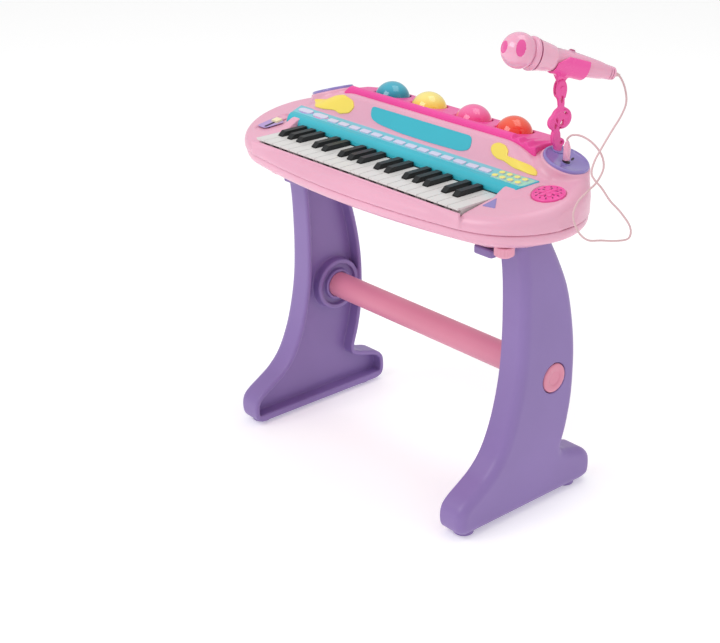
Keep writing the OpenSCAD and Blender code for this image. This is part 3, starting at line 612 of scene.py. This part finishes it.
# slots between the petals: painted shade
for k in range(6):
    a = k * math.pi / 3 + 0.3 + math.pi / 6
    prism("grille_slot_painted_shade_%d" % k, oval_pts(217 + 8.4 * math.cos(a), -3.5 + 8.4 * math.sin(a), 2.3, 0.9, 20, a), 2.2, 2.62, topz, painted_grille_hole_shade, "console", 0)
prism("grille_boss", circle_pts(217, -3.5, 2.6), 2.5, 3.3, topz, M["magenta"], "console", 0.3)
# ring of holes: painted shade
for k in range(12):
    a = k * math.pi / 6
    prism("grille_hole_painted_shade_%d" % k, oval_pts(217 + 13.0 * math.cos(a), -3.5 + 13.0 * math.sin(a), 1.7, 0.75, 20, a), 1.7, 2.12 if k % 2 else 2.2, topz, painted_grille_hole_shade, "console", 0)

# bevelled edges on the pieces taken from the part
for nd, wd in [(n, 0.55) for n in NODES if n.startswith("white_key")] + [(n, 0.8) for n in NODES if n.startswith("black_key")] + [("control_buttons", 0.5), ("battery_door", 0.4), ("volume_slider", 0.6)]:
    flat = NODES[nd].modifiers.new("flat", "DECIMATE")
    flat.decimate_type = "DISSOLVE"
    flat.angle_limit = math.radians(1)
    m = NODES[nd].modifiers.new("edge", "BEVEL")
    m.width = wd * MM
    m.segments = 3
    m.limit_method = "ANGLE"
    m.angle_limit = math.radians(35)
    m.use_clamp_overlap = True
    wn = NODES[nd].modifiers.new("normals", "WEIGHTED_NORMAL")
    wn.keep_sharp = False

# ---------------------------------------------------------------- control panel, inlays and reliefs
PA = math.atan2(3.7, 23.1)
cP, sP = math.cos(PA), math.sin(PA)


def f_panel(x, y, z):
    slab = np.abs(-(y + 20.5) * sP + (z - 396.4) * cP) - 1.2
    d = rmax(slab, y - 2.4, 0.8)
    d = np.maximum(d, -21.5 - y)
    # lip that curves down over the back of the keys
    r = H(y + 20.2, z - 387.6)
    lip = np.maximum(np.maximum(np.abs(r - 9.0) - 1.1, y + 19.5), 386 - z)
    d = rmin(d, lip, 0.8)
    return rmax(d, polyd(x, y, [(-193.4, -31.5), (186, -31.5), (195.6, 3), (-204.3, 3)], 1.5), 0.8)


nets("panel_shell", f_panel, (-207, -33, 384), (199, 5, 404), 0.9, M["teal_panel"], "console", "control_panel")


def on_panel(x, y, z):
    """Height z above the face of the panel at plan position x, y."""
    return (x, y - z * sP, 397.62 + (y + 20.5) * math.tan(PA) + z * cP)


def rounded(pts, r, n=5):
    out = []
    k = len(pts)
    for i in range(k):
        p, a, b = np.array(pts[i], float), np.array(pts[i - 1], float), np.array(pts[(i + 1) % k], float)
        u, v = (a - p) / np.linalg.norm(a - p), (b - p) / np.linalg.norm(b - p)
        t = min(r, 0.45 * np.linalg.norm(a - p), 0.45 * np.linalg.norm(b - p))
        q0, q1 = p + u * t, p + v * t
        for j in range(n + 1):
            w = j / n
            out.append(tuple((1 - w) ** 2 * q0 + 2 * w * (1 - w) * p + w * w * q1))
    return out


M["band"] = plastic("panel_band", "7CC9D8", 0.3)
M["green"] = plastic("patch_green", "A6DEC4", 0.35)
M["lilac"] = plastic("inlay_lilac", "CDB4E0", 0.3)
M["lilac_deep"] = plastic("inlay_lilac_deep", "B59AD2", 0.34)
prism("panel_band", rounded([(-198, -16.6), (190, -16.6), (194.4, 1.3), (-203, 1.3)], 2), -0.4, 0.1, on_panel, M["band"], "console", 0.12)
prism("cluster_patch", rounded([(142, -20), (187.5, -20), (193.2, -0.2), (144, -0.2)], 4), -0.4, 0.14, on_panel, M["green"], "console", 0.15)
for i, (ox, oy) in enumerate(((-182, -8), (-153, -9))):
    prism("oval_rim_%d" % i, oval_pts(ox, oy, 13.4, 6.0, 64), -0.4, 0.17, on_panel, plastic("oval_rim_%d" % i, ("B48AD0", "EE86C0")[i], 0.3), "console", 0.3)
for i in range(4):
    for j in range(2):
        bx, by = 146.5 + 11.2 * i + 2 * j, -15.5 + 9.5 * j
        prism("chord_cap_%d_%d" % (i, j), oval_pts(bx, by, 3.6, 3.0, 32), 1.38, 1.95, on_panel, M["yellow_cap"], "control_buttons", 0.5, 3)

HA = math.atan2(21.5, 14)


def on_face(x, t, z):
    return (x, 1.5 + t * math.cos(HA) - z * math.sin(HA), 401.5 + t * math.sin(HA) + z * math.cos(HA))


prism("music_inlay", rounded([(-86, 24.8), (-80, 10.5), (-64, 6.2), (-24, 3.6), (25, 3.4), (74, 4.6), (86.5, 9.5), (82, 24.8)], 7, 8), 0.0, 0.7, on_face, M["teal_panel"], "console", 0.4)


def poly2(px, py, pts):
    """Signed distance to any polygon."""
    px, py = np.broadcast_arrays(px, py)
    d = np.full(px.shape, 1e9)
    ins = np.zeros(px.shape, bool)
    for (ax, ay), (bx, by) in zip(pts, pts[1:] + pts[:1]):
        ex, ey = bx - ax, by - ay
        t = np.clip(((px - ax) * ex + (py - ay) * ey) / max(ex * ex + ey * ey, 1e-9), 0, 1)
        d = np.minimum(d, H(px - ax - t * ex, py - ay - t * ey))
        if ay != by:
            ins ^= ((ay > py) != (by > py)) & (px < (bx - ax) * (py - ay) / (by - ay) + ax)
    return np.where(ins, -d, d)


NOTE_R = rounded([(114.1, 17.4), (114.1, 22.9), (121.5, 27.0), (132.3, 26.0), (139.4, 20.6), (139.9, 15.4), (158.2, 14.3), (173.2, 13.9), (182.5, 10.5), (186.5, 4.5), (178.7, 3.4), (155.1, 4.6), (138.7, 8.7), (128.1, 9.0), (119.7, 11.9)], 3, 3)
NOTE_L = rounded([(-195.0, 13.0), (-166.8, 18.6), (-157.5, 24.8), (-139.5, 28.2), (-119.5, 24.2), (-112.8, 16.2), (-116.9, 8.2), (-131.6, 3.8), (-143.7, 6.1), (-163.6, 3.2), (-178.8, 3.1)], 3, 3)


def f_note(pts):
    def f(x, y, z):
        t = (y - 1.5) * math.cos(HA) + (z - 401.5) * math.sin(HA)
        x, t, y, z = np.broadcast_arrays(x, t, y, z)
        s = f_upper(x, y, z)
        return rmax(rmax(s - 1.5, poly2(x, t, pts), 0.8), -0.6 - s, 0.1)
    return f


nets("note_right", f_note(NOTE_R), (109, -4, 396), (191, 26, 428), 0.75, yellow, "console")
nets("note_left", f_note(NOTE_L), (-200, -4, 396), (-107, 38, 428), 0.75, yellow, "console")


def drape(name, pts, up, mat):
    """Thin inlay that follows the shoulder."""
    return prism(name, pts, -0.6, up, lambda x, y, z: (x, y, 394.6 + (y + 4) * math.tan(TT) + z), mat, "console", 0.15)


drape("shoulder_triangle", rounded([(176.4, -65.5), (192.5, -62.5), (177.2, -44)], 2), 0.4, M["disc_purple"])
prism("slider_well", rounded([(-213.5, -58), (-197, -58), (-190, -32), (-213, -27)], 5), 0.2, 0.5, lambda x, y, z: from_top(x, y, z), M["lilac_deep"], "console", 0.1)
# painted shade of the slider slot
prism("slider_slot_painted_shade", rounded([(-203, -55), (-199, -55), (-199, -30), (-203, -30)], 1.6), 0.4, 0.6, lambda x, y, z: from_top(x, y, z), painted_hole_shade, "console", 0)


# ---------------------------------------------------------------- stem in the shape of a clef
C70, S70 = math.cos(math.radians(70)), math.sin(math.radians(70))


def f_stem(x, y, z):
    X = (x - 177.2) * C70 + (y - 48.7) * S70
    T_ = -(x - 177.2) * S70 + (y - 48.7) * C70

    def el(cx, cz, rx, rz, rot=0.0):
        c, s = math.cos(rot), math.sin(rot)
        u, v = ((X - cx) * c + (z - cz) * s) / rx, (-(X - cx) * s + (z - cz) * c) / rz
        return (H(u, v) - 1) * min(rx, rz)
    d = rmin(el(-0.6, 489, 6.6, 11.5), el(0.9, 477.5, 3.4, 7.5), 2)
    d = rmin(d, el(1.6, 471.5, 2.8, 6), 2)
    d = rmin(d, el(2.6, 457.6, 11.6, 12), 2)
    d = rmin(d, el(-4.8, 452.8, 8.4, 8.8), 1.5)
    d = rmin(d, el(-3.2, 437, 5.2, 10), 1.5)
    d = rmin(d, el(2.9, 430.6, 4.4, 4.6), 0.8)
    d = rmin(d, rmax(np.abs(X) - 4.2, np.abs(z - 424) - 5, 1), 2)
    hole = np.minimum(el(0.9, 479, 1.1, 4.2, 0.1), el(-4.3, 452, 1.2, 5.6, -0.15))
    hole = np.minimum(hole, np.minimum(el(2.4, 451, 1.7, 5.0, -0.35), el(6.3, 464.4, 1.1, 3.2, 0.5)))
    hole = np.minimum(hole, el(2.9, 430.6, 1.5, 1.5))
    half = np.where(z > 480, 4.6, 2.9)
    d = rmax(d, -hole, 0.5)
    d = rmax(d, np.abs(T_) - half, 1.3)
    # fork that takes the tongue of the clip
    d = rmax(d, -np.maximum(np.maximum(np.abs(T_) - 1.9, 484 - z), -1), 0.4)
    # ridge along each face
    rim = rmax(np.abs(el(2.6, 457.6, 8.4, 8.8)) - 0.8, np.abs(T_) - 3.5, 0.4)
    return rmin(d, rim, 0.6)


nets("stem_clef", f_stem, (166, 32, 417), (189, 66, 504), 0.75, M["magenta"], "console", "mic_stem")
for sg in (-1, 1):
    prism("stem_screw_%d" % (sg + 1), circle_pts(0, 491, 2.6, 24), 4.3 * sg, 5.5 * sg, lambda a, b, c: (177.2 + a * C70 - c * S70, 48.7 + a * S70 + c * C70, b), M["magenta"], "console", 0.4)

# ---------------------------------------------------------------- microphone and clip
ez = mic_d / np.linalg.norm(mic_d)
ex = np.cross((0, 0, 1), ez); ex /= np.linalg.norm(ex)
ey = np.cross(ez, ex)


def on_mic(a, b, s_):
    return tuple(mic_c + a * ex + b * ey + s_ * ez)


M["mic_dark"] = plastic("mic_ring", "B4557F", 0.3)
M["mic_band"] = plastic("mic_band", "F0B4CB", 0.16, sss=0.3, coat=0.3)
M["mic_window"] = plastic("mic_window", "E8559F", 0.2, coat=0.3)
body_prof = [(0.0001, -67.5), (4.6, -67.5), (5.0, -67.0), (5.2, -66.2), (6.6, -66), (7.1, -65.4), (7.2, -63.6), (6.8, -63.2), (6.8, -62.4), (7.4, -62), (7.5, -60.4), (7.1, -60), (7.1, -59.2), (7.8, -58.8), (7.9, -57),
             (8.4, -52), (8.9, -50.4), (9.6, -46), (10.8, -34), (12.0, -20), (12.5, -12), (12.6, 0), (12.6, 12.2), (13.1, 12.8), (13.6, 13.6), (14.1, 15.6), (15.4, 24), (16.8, 33), (17.3, 34.4), (17.3, 35.2), (16.4, 35.6), (16.6, 36.4), (17.8, 36.8), (18.3, 38.0), (18.4, 40.4), (17.9, 42.0), (16.6, 42.9), (15.2, 43.4), (14.4, 43.0)]
turned("mic_body", body_prof, on_mic, [M["mic_pink"], M["mic_dark"], M["mic_band"]], "microphone", "microphone", n=96,
       mat_at=lambda i: 1 if body_prof[i][1] in (35.2, 35.6, 36.4) or body_prof[i][1] in (-63.2, -60) else (2 if 12.2 <= body_prof[i][1] < 34 else 0))
head = turned("mic_head", arcp(0, 54.6, 19.2, -40, 90, 90)[:-1] + [(0.0001, 73.8)], on_mic, [M["mic_pink"], M["mic_window"], M["mic_dark"]], "microphone", n=180)
wins = [(0.0, 0.0), (66.0, 0.0), (66.0, 180.0)]
hc = mic_c + 54.6 * ez
dirs = []
for pol, azi in wins:
    p_, a_ = math.radians(pol), math.radians(azi + 16.0)
    dirs.append(np.array([math.sin(p_) * math.cos(a_), math.sin(p_) * math.sin(a_), math.cos(p_)]))
hm = head.data
co = np.empty(len(hm.vertices) * 3); hm.vertices.foreach_get("co", co); co = co.reshape(-1, 3) / MM - hc
loc = np.stack([co @ ex, co @ ey, co @ ez], 1)
inn = np.full(len(loc), 9.0)
for k, dv in enumerate(dirs):
    t1 = np.cross(dv, (0, 0, 1) if k else (1, 0, 0)); t1 /= np.linalg.norm(t1)
    t2 = np.cross(dv, t1)
    front = loc @ dv > 0
    q = np.hypot((loc @ t1) / (9.8 if k else 7.0), (loc @ t2) / (5.6 if k else 7.0))
    inn = np.minimum(inn, np.where(front, q, 9))
push = np.clip((1.0 - inn) * 6, 0, 1)
rad = loc / np.maximum(np.linalg.norm(loc, axis=1), 1e-6)[:, None]
loc2 = loc - rad * (push * 0.7)[:, None]
new = (loc2[:, :1] * ex + loc2[:, 1:2] * ey + loc2[:, 2:] * ez + hc) * MM
hm.vertices.foreach_set("co", new.ravel())
mi = np.zeros(len(hm.polygons), np.int32)
for p in hm.polygons:
    m_ = float(np.mean([inn[v] for v in p.vertices]))
    if m_ < 0.93:
        mi[p.index] = 1
hm.polygons.foreach_set("material_index", mi)
hm.update()


def f_clip(x, y, z):
    px, py, pz = x - mic_c[0], y - mic_c[1], z - mic_c[2]
    a = px * ex[0] + py * ex[1] + pz * ex[2]
    b = px * ey[0] + py * ey[1] + pz * ey[2]
    s_ = px * ez[0] + py * ez[1] + pz * ez[2]
    r = H(a, b)
    tube = rmax(r - 15.3, 12.75 - r, 0.9)
    slope = b * 0.75 + s_ * 0.55
    d = rmax(tube, np.maximum(np.abs(s_ + 7.5) - 19.5, (slope - 5.5)), 1.0)
    d = rmax(d, b - 7.5, 1.0)
    X = (x - 177.2) * C70 + (y - 48.7) * S70
    T_ = -(x - 177.2) * S70 + (y - 48.7) * C70
    neck = rmax(rmax(np.abs(X + 0.2) - 4.6 - np.maximum(z - 497, 0) * 0.35, np.abs(T_) - 1.7 - np.maximum(z - 497, 0) * 0.45, 1.2), np.abs(z - 497) - 11, 1.5)
    neck = np.maximum(neck, 12.9 - r)
    neck = rmin(neck, rmax(H(X, z - 491) - 5.4, np.abs(T_) - 1.6, 0.6), 0.5)
    return rmin(d, neck, 2.0)


nets("clip_shell", f_clip, (152, 14, 484), (206, 80, 540), 0.85, M["magenta"], "microphone", "mic_clip")
sw = turned("mic_switch", [(0.0001, 14.6), (2.4, 14.5), (3.0, 14.0), (3.2, 13.0), (3.3, 11.5)], lambda a, b, c: on_mic(a, c, -8 + b), [M["mic_dark"]], "microphone", n=32)
turned("switch_rim", [(3.9, 11.0), (4.2, 12.6), (4.0, 13.1), (3.4, 13.0), (3.3, 12)], lambda a, b, c: on_mic(a, c, -8 + b), [M["mic_pink"]], "microphone", n=32)

# relief of the cord where it leaves the microphone, and where it enters the plug
turned("cord_relief", [(2.6, -67.0), (2.5, -69), (2.1, -70), (2.1, -70.6), (2.3, -71), (1.9, -72), (1.7, -72.6), (1.75, -73.2), (1.45, -74), (1.2, -74.8), (1.1, -75)], on_mic, [M["cord_pink"]], "microphone", n=24)
turned("plug_body", [(0.0001, 417.2), (3.7, 417.2), (3.95, 417.8), (3.95, 431), (3.6, 432.6), (3.2, 433.4), (3.2, 434.2), (2.7, 434.6), (2.7, 435.6), (2.3, 436), (2.3, 437), (1.6, 437.8), (1.15, 438.6)], lambda a, b, c: (198.1 + a, 40.1 + b, c), [M["mic_pink"]], "console", "mic_plug", n=48)

# crossbar with soft-edged caps
turned("crossbar_tube", [(16.3, -196), (16.3, 196)], lambda a, b, c: (c, 34.5 + a, 161 + b), [M["crossbar_pink"]], "console", "crossbar", n=96)
for sg in (-1, 1):
    turned("crossbar_cap_%d" % (sg + 1), [(16, 199.6), (17.5, 200.4), (17.6, 203.2), (17.0, 204.3), (15.6, 204.7), (9, 204.8), (8.4, 204.2), (7.8, 204.1), (0.0001, 204.1)], lambda a, b, c, sg=sg: (sg * c, 34.5 + a, 161 + b), [M["crossbar_pink"]], "console", n=96)
# END PIECES

# ---------------------------------------------------------------- stage
fm = bpy.data.materials.new("floor_pale")
fm.use_nodes = True
fb = fm.node_tree.nodes["Principled BSDF"]
fb.inputs["Base Color"].default_value = (0.93, 0.93, 0.93, 1)
fb.inputs["Emission Color"].default_value = (1, 1, 1, 1)
fb.inputs["Emission Strength"].default_value = 0.28
fb.inputs["Roughness"].default_value = 0.7
fb.inputs["Specular IOR Level"].default_value = 0.15
s = 12
floor = obj_from("floor", [(-s, -s, 0), (s, -s, 0), (s, s, 0), (-s, s, 0)], [(0, 1, 2, 3)], False, fm)
floor.location.z = -0.0004
w = bpy.data.worlds.new("studio")
scene.world = w
w.use_nodes = True
wn_, wl_ = w.node_tree.nodes, w.node_tree.links
bg = wn_["Background"]
bg.inputs["Color"].default_value = (1, 1, 1, 1)
bg.inputs["Strength"].default_value = 0.66
seen = wn_.new("ShaderNodeBackground")
seen.inputs["Color"].default_value = (1, 1, 1, 1)
seen.inputs["Strength"].default_value = 1.0
path = wn_.new("ShaderNodeLightPath")
mix = wn_.new("ShaderNodeMixShader")
wl_.new(path.outputs["Is Camera Ray"], mix.inputs[0])
wl_.new(bg.outputs[0], mix.inputs[1])
wl_.new(seen.outputs[0], mix.inputs[2])
wl_.new(mix.outputs[0], wn_["World Output"].inputs["Surface"])


def area(name, loc, target, size, power):
    ld = bpy.data.lights.new(name, "AREA")
    ld.shape = "RECTANGLE"
    ld.size, ld.size_y = size
    ld.energy = power
    lo = bpy.data.objects.new(name, ld)
    scene.collection.objects.link(lo)
    lo.location = loc
    lo.rotation_euler = (Vector(target) - Vector(loc)).to_track_quat('-Z', 'Y').to_euler()
    return lo


area("key_light", (-0.4, -1.9, 2.2), (0, 0, 0.3), (1.6, 1.2), 22)
area("fill_light", (2.4, 0.4, 1.6), (0, 0, 0.3), (1.4, 1.4), 2)
area("top_light", (0.3, 0.6, 2.6), (0, 0, 0.3), (1.8, 1.2), 11)
scene.view_settings.view_transform = "Standard"
scene.view_settings.look = "None"
